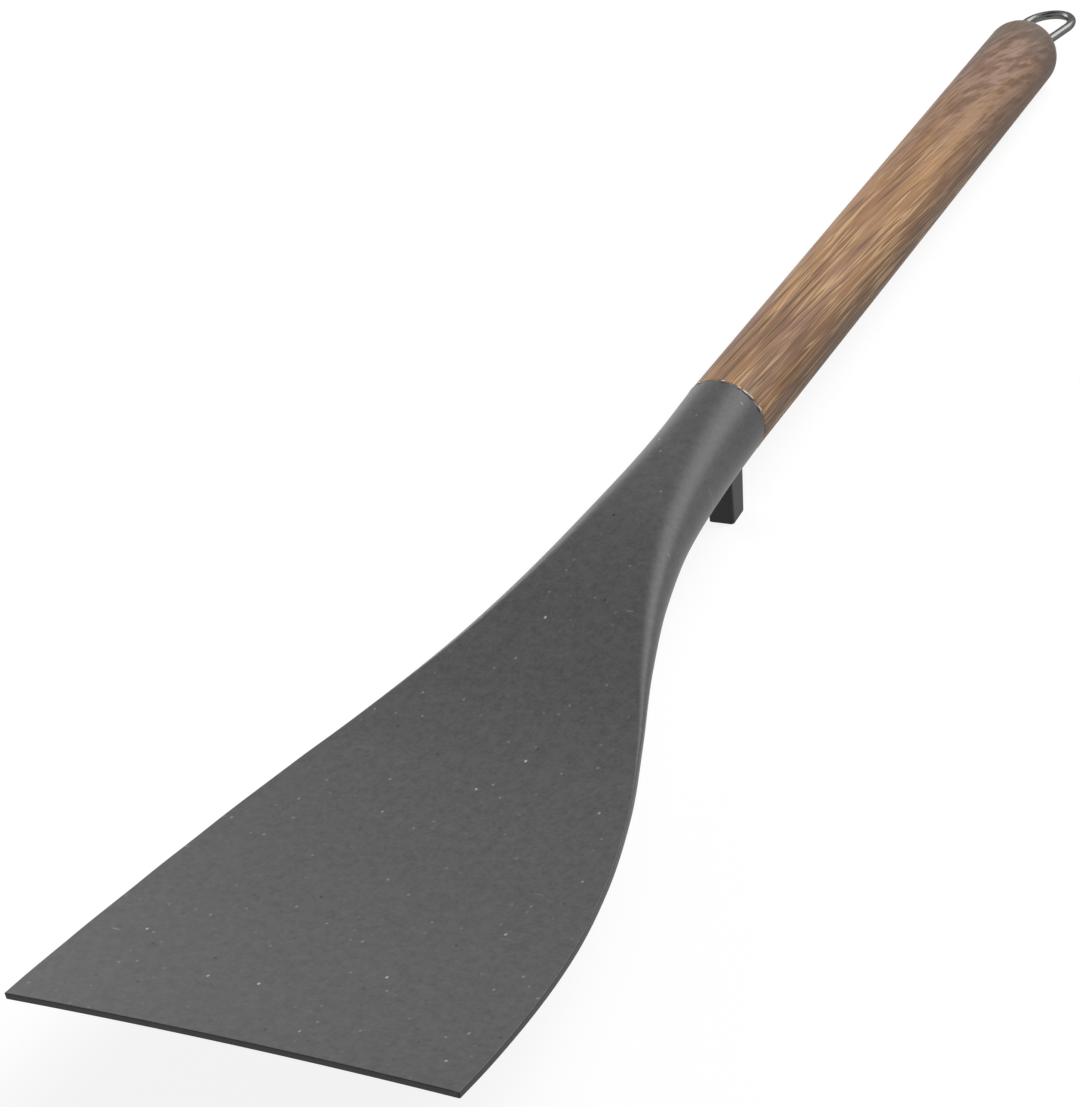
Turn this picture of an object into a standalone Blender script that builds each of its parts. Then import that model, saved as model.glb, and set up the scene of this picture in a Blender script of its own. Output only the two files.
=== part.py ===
"""Kitchen spatula with a moulded head, a turned wooden handle and a wire hanging loop.

Run it with: blender --background --python part.py

Units are metres and +Z is up. Each piece is drawn in the spatula's own frame: the seam between collar and
wood is at zero, +Y runs along the handle's axis to the tail, and the blade lies towards -Y. One empty carries
all the pieces and tips them into the rest pose, where the foot under the collar and the handle's tail stand
on the table and the blade stays in the air.
"""
import math

import bmesh
import bpy
from mathutils import Vector

MM = 0.001

# Driving dimensions of the head
HEAD_LENGTH = 194.6 * MM
BLADE_WIDTH = 91.6 * MM
BLADE_THICKNESS = 1.4 * MM
COLLAR_DIAMETER = 18.0 * MM
NECK_DROP = 8.4 * MM
FRONT_CORNER_RADIUS = 0.8 * MM
HEAD_STATIONS = 40
CORNER_STATIONS = 4
RING_POINTS = 40

# The neck is cored out from below, with a rib along its middle
CORE_WALL = 2.0 * MM
CORE_RIB = 1.8 * MM
CORE_BACK = 10.5 * MM
CORE_FRONT = 96.0 * MM
CORE_CORNER_RADIUS = 0.4 * MM
CORE_CORNER_POINTS = 5
CORE_STATIONS = 18

# The foot under the collar, measured from the seam towards the blade and from the axis down
FOOT_WIDTH = 6.0 * MM
FOOT_DEPTH = 19.7 * MM
FOOT_ROOT_BACK = 0.3 * MM
FOOT_ROOT_FRONT = 6.6 * MM
FOOT_TOE_BACK = 4.2 * MM
FOOT_TOE_FRONT = 7.8 * MM
FOOT_EMBED = 2.0 * MM
FOOT_CORNER_RADIUS = 1.0 * MM
FOOT_TOE_CHAMFER = 0.25 * MM
FOOT_POINTS = 24

# The tang behind the collar, with its glue grooves
TANG_DIAMETER = 9.0 * MM
TANG_LENGTH = 48.0 * MM
TANG_CHAMFER = 1.0 * MM
GROOVE_COUNT = 4
GROOVE_WIDTH = 3.0 * MM
GROOVE_DEPTH = 0.6 * MM

# Driving dimensions of the handle
HANDLE_LENGTH = 171.4 * MM
HANDLE_DIAMETER = COLLAR_DIAMETER
TAIL_DIAMETER = 17.1 * MM
TAIL_FACE_DIAMETER = 8.4 * MM
TAIL_ROUNDING = 6.1 * MM
TAIL_STEPS = 10
SEAM_CHAMFER = 0.2 * MM
TURNED_SIDES = 48

# Driving dimensions of the hanging loop
WIRE_DIAMETER = 2.1 * MM
LEG_OFFSET = 3.3 * MM
LEG_DEPTH = 14.0 * MM
LEG_BEND_RADIUS = 4.0 * MM
EYE_RADIUS = 6.05 * MM
EYE_RISE = 10.4 * MM
BEND_STEPS = 4
EYE_STEPS = 26
WIRE_RESOLUTION = 4

# Clearances, glue and cuts
SEAM = 0.3 * MM
GLUE_GAP = 0.3 * MM
GLUE_LAYER = 0.5 * MM
GLUE_PLUG = 1.9 * MM
LEG_GLUE_PLUG = 2.4 * MM
HOLE_SIDES = 24
CUT_OVERRUN = 2.0 * MM
MERGE_DISTANCE = 0.01 * MM
SMOOTH_ANGLE = math.radians(30)

# Where each outline point lies along the head, and its value as a share of the size that it follows
WIDTH_SHARES = (
    (0.00, 0.000), (0.05, 0.003), (0.10, 0.015), (0.20, 0.069), (0.30, 0.174), (0.40, 0.334),
    (0.50, 0.530), (0.60, 0.718), (0.70, 0.859), (0.80, 0.948), (0.90, 0.990), (0.97, 1.000), (1.00, 0.998),
)
DROP_SHARES = (
    (0.00, 0.00), (0.10, 0.09), (0.20, 0.145), (0.30, 0.335), (0.40, 0.605), (0.50, 0.852),
    (0.57, 0.965), (0.65, 1.00), (0.72, 0.972), (0.80, 0.857), (0.90, 0.587), (1.00, 0.235),
)
THICKNESS_SHARES = (
    (0.00, 1.000), (0.05, 0.940), (0.10, 0.860), (0.20, 0.650), (0.30, 0.420), (0.40, 0.215),
    (0.50, 0.073), (0.60, 0.028), (0.70, 0.014), (0.80, 0.005), (1.00, 0.000),
)
ROUNDNESS_SHARES = ((0.00, 1.00), (0.40, 1.00), (0.60, 0.40), (1.00, 0.40))
CORE_INSET_SHARE = 0.2

# Sizes that follow from the driving dimensions
COLLAR_RADIUS = COLLAR_DIAMETER / 2
TANG_RADIUS = TANG_DIAMETER / 2
BORE_RADIUS = TANG_RADIUS + GLUE_GAP + GLUE_LAYER + GLUE_GAP
BORE_DEPTH = TANG_LENGTH + GLUE_GAP + GLUE_PLUG + GLUE_GAP
LEG_HOLE_RADIUS = WIRE_DIAMETER / 2 + GLUE_GAP
LEG_HOLE_DEPTH = LEG_DEPTH + GLUE_GAP + LEG_GLUE_PLUG + GLUE_GAP
FOOT_MIDDLE = (FOOT_TOE_BACK + FOOT_TOE_FRONT) / 2


def clear_scene():
    """Remove every object that the new file holds."""
    for item in list(bpy.data.objects):
        bpy.data.objects.remove(item, do_unlink=True)


def new_collection(name):
    """A collection linked to the scene."""
    collection = bpy.data.collections.new(name)
    bpy.context.scene.collection.children.link(collection)
    return collection


def make_material(name, color, roughness, metallic=0.0):
    """A material of one Principled shader."""
    material = bpy.data.materials.new(name)
    material.use_nodes = True
    shader = material.node_tree.nodes["Principled BSDF"]
    shader.inputs["Base Color"].default_value = (*color, 1.0)
    shader.inputs["Roughness"].default_value = roughness
    shader.inputs["Metallic"].default_value = metallic
    return material


def add_object(name, data, collection, carrier, material=None):
    """An object of the given data, carried by the empty."""
    item = bpy.data.objects.new(name, data)
    collection.objects.link(item)
    item.parent = carrier
    if material is not None:
        data.materials.append(material)
    return item


def mesh_from(working, name):
    """A smooth-shaded mesh with sharp edges, from a bmesh that is then freed."""
    bmesh.ops.recalc_face_normals(working, faces=working.faces)
    mesh = bpy.data.meshes.new(name)
    working.to_mesh(mesh)
    working.free()
    mesh.shade_smooth()
    mesh.set_sharp_from_angle(angle=SMOOTH_ANGLE)
    return mesh


def hide_cutter(item):
    """Mark a cutter as a guide that no render shows."""
    item.hide_render = True
    item.display_type = "WIRE"


def add_boolean(item, other, operation):
    """Join another object to this one, or cut it away."""
    modifier = item.modifiers.new(operation.title(), "BOOLEAN")
    modifier.operation = operation
    modifier.solver = "EXACT"
    modifier.object = other


def share_at(shares, place):
    """Smooth value at a place, on a curve through the table's points that makes no overshoot."""
    places = [point[0] for point in shares]
    values = [point[1] for point in shares]
    slopes = [
        (values[i + 1] - values[i]) / (places[i + 1] - places[i])
        for i in range(len(shares) - 1)
    ]
    tangents = [slopes[0]]
    for before, after in zip(slopes, slopes[1:]):
        tangents.append(2 * before * after / (before + after) if before * after > 0 else 0.0)
    tangents.append(slopes[-1])
    place = min(max(place, places[0]), places[-1])
    span = max(i for i in range(len(slopes)) if places[i] <= place)
    width = places[span + 1] - places[span]
    t = (place - places[span]) / width
    rise = values[span + 1] - values[span]
    start, end = tangents[span] * width, tangents[span + 1] * width
    return values[span] + start * t + (3 * rise - 2 * start - end) * t ** 2 + (start + end - 2 * rise) * t ** 3


def head_section(place):
    """Half width, thickness, corner radius and middle height of the head at a share of its length."""
    half_width = COLLAR_RADIUS + (BLADE_WIDTH / 2 - COLLAR_RADIUS) * share_at(WIDTH_SHARES, place)
    thickness = BLADE_THICKNESS + (COLLAR_DIAMETER - BLADE_THICKNESS) * share_at(THICKNESS_SHARES, place)
    corner_radius = thickness / 2 * share_at(ROUNDNESS_SHARES, place)
    middle = -NECK_DROP * share_at(DROP_SHARES, place)
    return half_width, thickness, corner_radius, middle


def rounded_ring(half_width, half_height, corner_radius, count):
    """Points round a rectangle with rounded corners, none of them on its axes."""
    ring = []
    for step in range(count):
        angle = (step + 0.5) * math.tau / count
        across, up = math.cos(angle), math.sin(angle)
        ring.append((
            math.copysign(half_width - corner_radius, across) + corner_radius * across,
            math.copysign(half_height - corner_radius, up) + corner_radius * up,
        ))
    return ring


def loft(rings):
    """A closed bmesh through rings with the same number of points."""
    working = bmesh.new()
    loops = [[working.verts.new(point) for point in ring] for ring in rings]
    count = len(rings[0])
    for near, far in zip(loops, loops[1:]):
        for i in range(count):
            j = (i + 1) % count
            working.faces.new((near[i], near[j], far[j], far[i]))
    working.faces.new(loops[0])
    working.faces.new(loops[-1])
    return working


def tang_outline(clearance):
    """Radius and distance behind the seam along the tang, grown by a clearance, from collar to tip."""
    radius = TANG_RADIUS + clearance
    floor = radius - GROOVE_DEPTH
    pitch = (TANG_LENGTH - TANG_CHAMFER) / (GROOVE_COUNT + 1)
    points = []
    for groove in range(GROOVE_COUNT):
        middle = pitch * (groove + 1)
        lip = GROOVE_WIDTH / 2 - clearance
        bed = lip - GROOVE_DEPTH
        points += [(radius, middle - lip), (floor, middle - bed), (floor, middle + bed), (radius, middle + lip)]
    points.append((radius, TANG_LENGTH - TANG_CHAMFER))
    points.append((radius - TANG_CHAMFER, TANG_LENGTH + clearance))
    return points


def handle_outline():
    """Radius and distance behind the seam along the handle's outside, from the tail face to the seam."""
    tail_radius = TAIL_DIAMETER / 2
    face_radius = TAIL_FACE_DIAMETER / 2
    points = []
    for step in range(TAIL_STEPS + 1):
        turn = math.pi / 2 * (1 - step / TAIL_STEPS)
        points.append((
            face_radius + (tail_radius - face_radius) * math.cos(turn),
            HANDLE_LENGTH - TAIL_ROUNDING + TAIL_ROUNDING * math.sin(turn),
        ))
    points.append((HANDLE_DIAMETER / 2, SEAM + SEAM_CHAMFER))
    points.append((HANDLE_DIAMETER / 2 - SEAM_CHAMFER, SEAM))
    return points


def rest_tilt():
    """Angle at which the tail meets the plane through the foot's flat end."""
    return min(
        math.atan2(FOOT_DEPTH - radius, FOOT_MIDDLE + distance)
        for radius, distance in handle_outline()
    )


def turned_object(name, outline, collection, carrier, material):
    """A turned piece: its outline in XZ, swept round local Z, which is laid along the handle."""
    mesh = bpy.data.meshes.new(name)
    vertices = [(radius, 0.0, height) for radius, height in outline]
    edges = [(i, i + 1) for i in range(len(vertices) - 1)]
    mesh.from_pydata(vertices, edges, [])
    item = add_object(name, mesh, collection, carrier, material)
    item.rotation_euler = (-math.pi / 2, 0.0, 0.0)
    screw = item.modifiers.new("Turn", "SCREW")
    screw.steps = TURNED_SIDES
    screw.render_steps = TURNED_SIDES
    screw.use_merge_vertices = True
    screw.merge_threshold = MERGE_DISTANCE
    screw.use_smooth_shade = True
    return item


def head_rings():
    """Rings from the blade's front edge over the collar to the tip of the tang."""
    places = [step / HEAD_STATIONS for step in range(HEAD_STATIONS)]
    front = HEAD_LENGTH - FRONT_CORNER_RADIUS
    distances = [place * HEAD_LENGTH for place in places if place * HEAD_LENGTH < front]
    for step in range(CORNER_STATIONS + 1):
        turn = math.pi / 2 * step / CORNER_STATIONS
        distances.append(front + FRONT_CORNER_RADIUS * math.sin(turn))
    rings = []
    for distance in reversed(distances):
        half_width, thickness, corner_radius, middle = head_section(distance / HEAD_LENGTH)
        past = max(0.0, distance - front)
        half_width -= FRONT_CORNER_RADIUS - math.sqrt(max(0.0, FRONT_CORNER_RADIUS ** 2 - past ** 2))
        outline = rounded_ring(half_width, thickness / 2, corner_radius, RING_POINTS)
        rings.append([Vector((x, -distance, middle + z)) for x, z in outline])
    for radius, distance in [(TANG_RADIUS, 0.0)] + tang_outline(0.0):
        outline = rounded_ring(radius, radius, radius, RING_POINTS)
        rings.append([Vector((x, distance, z)) for x, z in outline])
    return rings


def foot_rings(tilt):
    """Rings of the foot, from its root inside the collar down to a toe that is level at rest."""
    levels = (
        (FOOT_ROOT_BACK, FOOT_ROOT_FRONT, COLLAR_RADIUS - FOOT_EMBED, 0.0),
        (FOOT_ROOT_BACK, FOOT_ROOT_FRONT, COLLAR_RADIUS, 0.0),
        (FOOT_TOE_BACK, FOOT_TOE_FRONT, FOOT_DEPTH - FOOT_TOE_CHAMFER, 0.0),
        (FOOT_TOE_BACK, FOOT_TOE_FRONT, FOOT_DEPTH, FOOT_TOE_CHAMFER),
    )
    rings = []
    for back, front, depth, inset in levels:
        half_length = (front - back) / 2 - inset
        outline = rounded_ring(FOOT_WIDTH / 2 - inset, half_length, FOOT_CORNER_RADIUS - inset, FOOT_POINTS)
        middle = (back + front) / 2
        slope = math.tan(tilt) if depth > COLLAR_RADIUS else 0.0
        rings.append([Vector((x, y - middle, y * slope - depth)) for x, y in outline])
    return rings


def core_rings(side):
    """Rings of one channel's cutter under the neck, on the side given as 1 or -1."""
    rings = []
    for step in range(CORE_STATIONS + 1):
        distance = CORE_BACK + (CORE_FRONT - CORE_BACK) * step / CORE_STATIONS
        half_width, thickness, corner_radius, middle = head_section(distance / HEAD_LENGTH)
        outer = half_width - CORE_WALL - CORE_INSET_SHARE * corner_radius
        roof = middle + thickness / 2 - CORE_WALL
        corner = min(max(CORE_CORNER_RADIUS, corner_radius - CORE_WALL), outer - CORE_RIB)
        outline = [(CORE_RIB / 2, -FOOT_DEPTH), (CORE_RIB / 2, roof)]
        for turn_step in range(CORE_CORNER_POINTS):
            turn = math.pi / 2 * (1 - turn_step / (CORE_CORNER_POINTS - 1))
            outline.append((outer - corner + corner * math.cos(turn), roof - corner + corner * math.sin(turn)))
        outline.append((outer, -FOOT_DEPTH))
        rings.append([Vector((side * x, -distance, z)) for x, z in outline])
    return rings


def build_head(parts, cutters, carrier, material):
    """The moulded head: blade, neck, collar and tang in one, with the foot joined and the neck cored."""
    head = add_object("nylon_head", mesh_from(loft(head_rings()), "nylon_head"), parts, carrier, material)
    for side, name in ((1, "core_cutter_right"), (-1, "core_cutter_left")):
        cutter = add_object(name, mesh_from(loft(core_rings(side)), name), cutters, carrier)
        hide_cutter(cutter)
        add_boolean(head, cutter, "DIFFERENCE")
    foot = add_object("foot_form", mesh_from(loft(foot_rings(rest_tilt())), "foot_form"), cutters, carrier)
    hide_cutter(foot)
    add_boolean(head, foot, "UNION")
    return head


def build_handle(parts, cutters, carrier, material):
    """The turned handle with its front bore and the two leg holes in its tail."""
    outline = [(0.0, HANDLE_LENGTH)] + handle_outline()
    outline += [(BORE_RADIUS, SEAM), (BORE_RADIUS, BORE_DEPTH), (0.0, BORE_DEPTH)]
    handle = turned_object("wood_handle", outline, parts, carrier, material)
    for side, name in ((1, "leg_hole_right"), (-1, "leg_hole_left")):
        working = bmesh.new()
        bmesh.ops.create_cone(
            working, cap_ends=True, segments=HOLE_SIDES, radius1=LEG_HOLE_RADIUS,
            radius2=LEG_HOLE_RADIUS, depth=LEG_HOLE_DEPTH + CUT_OVERRUN,
        )
        cutter = add_object(name, mesh_from(working, name), cutters, carrier)
        cutter.rotation_euler = (-math.pi / 2, 0.0, 0.0)
        middle = HANDLE_LENGTH + (CUT_OVERRUN - LEG_HOLE_DEPTH) / 2
        cutter.location = (side * LEG_OFFSET, middle, 0.0)
        hide_cutter(cutter)
        add_boolean(handle, cutter, "DIFFERENCE")
    return handle


def build_tang_adhesive(parts, carrier, material):
    """The cured adhesive round the tang: a cup with ribs that sit in the tang's grooves."""
    outside = BORE_RADIUS - GLUE_GAP
    mouth = SEAM + GLUE_GAP
    end = BORE_DEPTH - GLUE_GAP
    outline = [(0.0, end), (outside, end), (outside, mouth), (TANG_RADIUS + GLUE_GAP, mouth)]
    outline += tang_outline(GLUE_GAP)
    outline.append((0.0, TANG_LENGTH + GLUE_GAP))
    return turned_object("tang_adhesive", outline, parts, carrier, material)


def right_half_of_loop():
    """Centre line of the wire from the right leg's end to the top of the eye, in the plane of the blade."""
    reach = math.hypot(LEG_OFFSET, EYE_RISE)
    first = math.acos(EYE_RADIUS / reach) - math.atan2(EYE_RISE, LEG_OFFSET)
    lean = -first
    tangent = LEG_BEND_RADIUS * math.tan(lean / 2)
    points = [(LEG_OFFSET, -LEG_DEPTH)]
    for step in range(BEND_STEPS + 1):
        turn = lean * step / BEND_STEPS
        points.append((
            LEG_OFFSET + LEG_BEND_RADIUS * (1 - math.cos(turn)),
            LEG_BEND_RADIUS * math.sin(turn) - tangent,
        ))
    for step in range(EYE_STEPS // 2 + 1):
        angle = first + (math.pi / 2 - first) * step / (EYE_STEPS // 2)
        points.append((EYE_RADIUS * math.cos(angle), EYE_RISE + EYE_RADIUS * math.sin(angle)))
    return points


def build_loop(parts, carrier, material):
    """The hanging loop: one bent wire with both legs in the handle's tail."""
    half = right_half_of_loop()
    points = half + [(-x, y) for x, y in reversed(half[:-1])]
    curve = bpy.data.curves.new("hanging_loop", "CURVE")
    curve.dimensions = "3D"
    curve.bevel_depth = WIRE_DIAMETER / 2
    curve.bevel_resolution = WIRE_RESOLUTION
    curve.use_fill_caps = True
    spline = curve.splines.new("POLY")
    spline.points.add(len(points) - 1)
    for control, (x, y) in zip(spline.points, points):
        control.co = (x, HANDLE_LENGTH + y, 0.0, 1.0)
    return add_object("hanging_loop", curve, parts, carrier, material)


def build_leg_adhesive(parts, carrier, material):
    """The drop of cured adhesive at the bottom of each leg hole."""
    for side, name in ((1, "loop_adhesive_right"), (-1, "loop_adhesive_left")):
        working = bmesh.new()
        bmesh.ops.create_cone(
            working, cap_ends=True, segments=HOLE_SIDES, radius1=LEG_HOLE_RADIUS - GLUE_GAP,
            radius2=LEG_HOLE_RADIUS - GLUE_GAP, depth=LEG_GLUE_PLUG,
        )
        drop = add_object(name, mesh_from(working, name), parts, carrier, material)
        drop.rotation_euler = (-math.pi / 2, 0.0, 0.0)
        middle = HANDLE_LENGTH - LEG_DEPTH - GLUE_GAP - LEG_GLUE_PLUG / 2
        drop.location = (side * LEG_OFFSET, middle, 0.0)


def stand_on_origin(parts, carrier):
    """Move the whole spatula so that its box stands on the origin, centred."""
    bpy.context.view_layer.update()
    graph = bpy.context.evaluated_depsgraph_get()
    corners = []
    for item in parts.objects:
        shown = item.evaluated_get(graph)
        mesh = shown.to_mesh()
        corners += [shown.matrix_world @ vertex.co for vertex in mesh.vertices]
        shown.to_mesh_clear()
    lowest = [min(corner[axis] for corner in corners) for axis in range(3)]
    highest = [max(corner[axis] for corner in corners) for axis in range(3)]
    carrier.location = (
        -(lowest[0] + highest[0]) / 2,
        -(lowest[1] + highest[1]) / 2,
        -lowest[2],
    )
    bpy.context.view_layer.update()


def main():
    """Build every piece and stand the spatula on its foot and tail."""
    clear_scene()
    parts = new_collection("Kitchen spatula")
    cutters = new_collection("Cutters")
    carrier = bpy.data.objects.new("spatula_axis", None)
    bpy.context.scene.collection.objects.link(carrier)
    carrier.rotation_euler = (-rest_tilt(), 0.0, 0.0)

    nylon = make_material("Dark grey nylon", (0.085, 0.082, 0.080), 0.55)
    wood = make_material("Oiled wood", (0.300, 0.180, 0.105), 0.45)
    steel = make_material("Polished steel", (0.620, 0.610, 0.590), 0.12, metallic=1.0)
    adhesive = make_material("Cured adhesive", (0.640, 0.580, 0.480), 0.40)

    build_head(parts, cutters, carrier, nylon)
    build_handle(parts, cutters, carrier, wood)
    build_tang_adhesive(parts, carrier, adhesive)
    build_loop(parts, carrier, steel)
    build_leg_adhesive(parts, carrier, adhesive)
    stand_on_origin(parts, carrier)


if __name__ == "__main__":
    main()
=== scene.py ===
"""Looks of a kitchen spatula with a nylon head, a streaked wooden handle and a wire hanging loop.

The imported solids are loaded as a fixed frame. Each piece that shows is built again here with finer
surfaces, in the place of its solid, and gets a procedural finish. Units are metres and +Z is up.

The pieces are drawn in the spatula's own frame, with the seam between collar and wood at zero, +Y along
the handle and the blade towards -Y, and are then laid in the rest pose on foot and tail.
"""
import math

import bmesh
import bpy
from bpy.props import FloatProperty, FloatVectorProperty, IntProperty, PointerProperty
from bpy.types import NodeSocket, Operator, Panel, PropertyGroup
from mathutils import Matrix, Vector


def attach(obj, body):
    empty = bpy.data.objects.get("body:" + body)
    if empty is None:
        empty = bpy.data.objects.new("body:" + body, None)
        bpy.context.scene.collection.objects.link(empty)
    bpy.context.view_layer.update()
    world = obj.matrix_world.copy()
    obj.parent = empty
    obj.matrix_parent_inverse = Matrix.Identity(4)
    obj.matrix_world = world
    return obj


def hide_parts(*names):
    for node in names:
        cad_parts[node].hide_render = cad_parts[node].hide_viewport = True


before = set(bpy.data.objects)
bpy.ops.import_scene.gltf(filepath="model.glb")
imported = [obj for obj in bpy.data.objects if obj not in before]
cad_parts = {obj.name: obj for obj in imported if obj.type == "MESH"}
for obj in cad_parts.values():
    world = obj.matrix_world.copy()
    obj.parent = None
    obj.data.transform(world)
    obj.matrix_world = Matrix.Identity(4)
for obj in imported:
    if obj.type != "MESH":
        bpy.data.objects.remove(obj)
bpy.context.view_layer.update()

bl_info = {
    "name": "Kitchen Spatula",
    "version": (1, 0, 0),
    "blender": (4, 5, 0),
    "location": "3D Viewport > Sidebar > Spatula",
    "description": "Builds the finished surfaces, materials and studio of a kitchen spatula",
    "category": "Add Mesh",
}

MM = 0.001
BODY = "root"
MERGE_DISTANCE = 0.001 * MM
SHARP_ANGLE = math.radians(35)
PREFIX = "spatula_"

# Fewer faces than this mean that a boolean failed
LEAST_FACES = {"moulded_head": 10000, "turned_handle": 5000}

# Small sizes that are seldom changed
TANG_CHAMFER = 1.0 * MM
FOOT_EMBED = 0.5 * MM
CORE_CORNER = 0.4 * MM
LEAST_CORNER = 0.05 * MM
CORE_CUT_DEPTH = 20.0 * MM
CUT_OVERRUN = 1.0 * MM
CORE_INSET_SHARE = 0.2
GROOVE_COUNT = 4

# Steps along and round the shapes. The bow of a front corner stops just short of the edge's rounding
BOW_SHARE = 0.999
BOW_STEPS = 8
EDGE_STEPS = 5
FILLET_STEPS = 6
FOOT_STEPS = 8
TOE_STEPS = 4
CORE_STEPS = 60
CORE_CORNER_STEPS = 12
BAR_STEPS = 80
TAIL_STEPS = 24
BORE_SIDES = 48
LEG_HOLE_SIDES = 32
FLOOR_SIDES = 128
BEND_STEPS = 12
EYE_STEPS = 48
RING_POINTS = 180
BEAD_SIDES = 10

# How far apart a tree's nodes stand
COLUMN_WIDTH = 190
ROW_HEIGHT = 170

# Where each outline point lies along the head, and its value as a share of the size that it follows
WIDTH_SHARES = (
    (0.00, 0.000), (0.05, 0.003), (0.10, 0.015), (0.20, 0.069), (0.30, 0.174), (0.40, 0.334), (0.50, 0.530),
    (0.60, 0.718), (0.70, 0.859), (0.80, 0.948), (0.90, 0.990), (0.97, 1.000), (1.00, 0.998),
)
DROP_SHARES = (
    (0.00, 0.00), (0.10, 0.09), (0.20, 0.145), (0.30, 0.335), (0.40, 0.605), (0.50, 0.852),
    (0.57, 0.965), (0.65, 1.00), (0.72, 0.972), (0.80, 0.857), (0.90, 0.587), (1.00, 0.235),
)
THICKNESS_SHARES = (
    (0.00, 1.000), (0.05, 0.940), (0.10, 0.860), (0.20, 0.650), (0.30, 0.420), (0.40, 0.215),
    (0.50, 0.073), (0.60, 0.028), (0.70, 0.014), (0.80, 0.005), (1.00, 0.000),
)
ROUNDNESS_SHARES = ((0.00, 1.00), (0.40, 1.00), (0.60, 0.40), (1.00, 0.40))

# Where the larger flecks of adhesive sit round the seam, in degrees from the top towards +X
FLECK_DEGREES = (8, 31, 41, 50, 70, 152, 178, 208, 247, 290, 331)

# Least and most that a fleck is stretched, where its adhesive stands proud of the seam, paler outside it
# and darker with painted shade inside it, and how its dark parts, patches and painted shade, differ
FLECK_LEAST = (0.8, 0.7, 0.6)
FLECK_MOST = (2.8, 1.2, 1.2)
PROUD_ADHESIVE = (9.06 * MM, 9.18 * MM)
ADHESIVE_DARKENING = (0.34, 0.28, 0.25)

# Where the painted shade on the front edge face ends behind that edge
EDGE_FACE = (0.12 * MM, 0.24 * MM)

# Masks on the nylon: what each follows, where it starts and ends on that, and its strength at both
NYLON_MASKS = {
    # The first three place painted shade on the blade's turned-down faces and on the foot; unworn breaks
    # the front edge's painted shade in worn patches
    "turned_down": ("facing_up", 0.45, 0.80, 0.78, 0.00),
    "blade": ("Y", -110 * MM, -70 * MM, 1.00, 0.00),
    "foot": ("Z", -10.5 * MM, -9.3 * MM, 0.62, 0.00),
    "unworn": ("wear", 0.56, 0.68, 1.00, 0.35),
}

# Specks on the nylon: how they lie, their spacing, size, amount and strength, and their colour
SPECK_LAYERS = (
    ("upended", 140.0, 0.048, 0.55, 0.90, "dust"),
    ("plain", 340.0, 0.130, 0.40, 0.26, "dust"),
    ("across", 170.0, 0.045, 0.25, 0.36, "dust"),
    ("upended", 230.0, 0.090, 0.40, 0.75, "nylon_edge"),
)

# A higher power leaves fewer bright specks among the faint ones
FAINT_SPECKS = 5.0

# How the grain leans in degrees, how far it drifts, and how much more it leans at the tail
GRAIN_LEANS = {
    "straight": (-0.8, 0.10, -6.0),
    "leaning": (-3.0, 0.16, -6.0),
    "crossing": (0.6, 0.12, -4.5),
    "figured": (-19.0, 0.30, 0.0),
}

# The wood's patterns: the lean that each follows, its stretch along the grain, its scale and its detail
GRAIN_PATTERNS = {
    "patches": ("straight", 0.26, 120.0, 2.0),
    "blush": ("leaning", 0.22, 210.0, 2.0),
    "glow": ("straight", 0.13, 240.0, 2.0),
    "streaks": ("straight", 0.045, 660.0, 3.0),
    "veins": ("leaning", 0.014, 1100.0, 1.0),
    "lines": ("straight", 0.022, 1850.0, 1.0),
    "threads": ("crossing", 0.026, 1300.0, 1.0),
    "hairs": ("leaning", 0.030, 1450.0, 1.0),
    "groups": ("leaning", 0.18, 300.0, 2.0),
    "flames": ("figured", 0.24, 780.0, 2.0),
}

# Where the veins lie in their pattern, and where the painted highlight, an orange band, lies across the
# handle
VEIN_MIDDLE = 0.5
BAND_MIDDLE = 6.0 * MM

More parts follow.
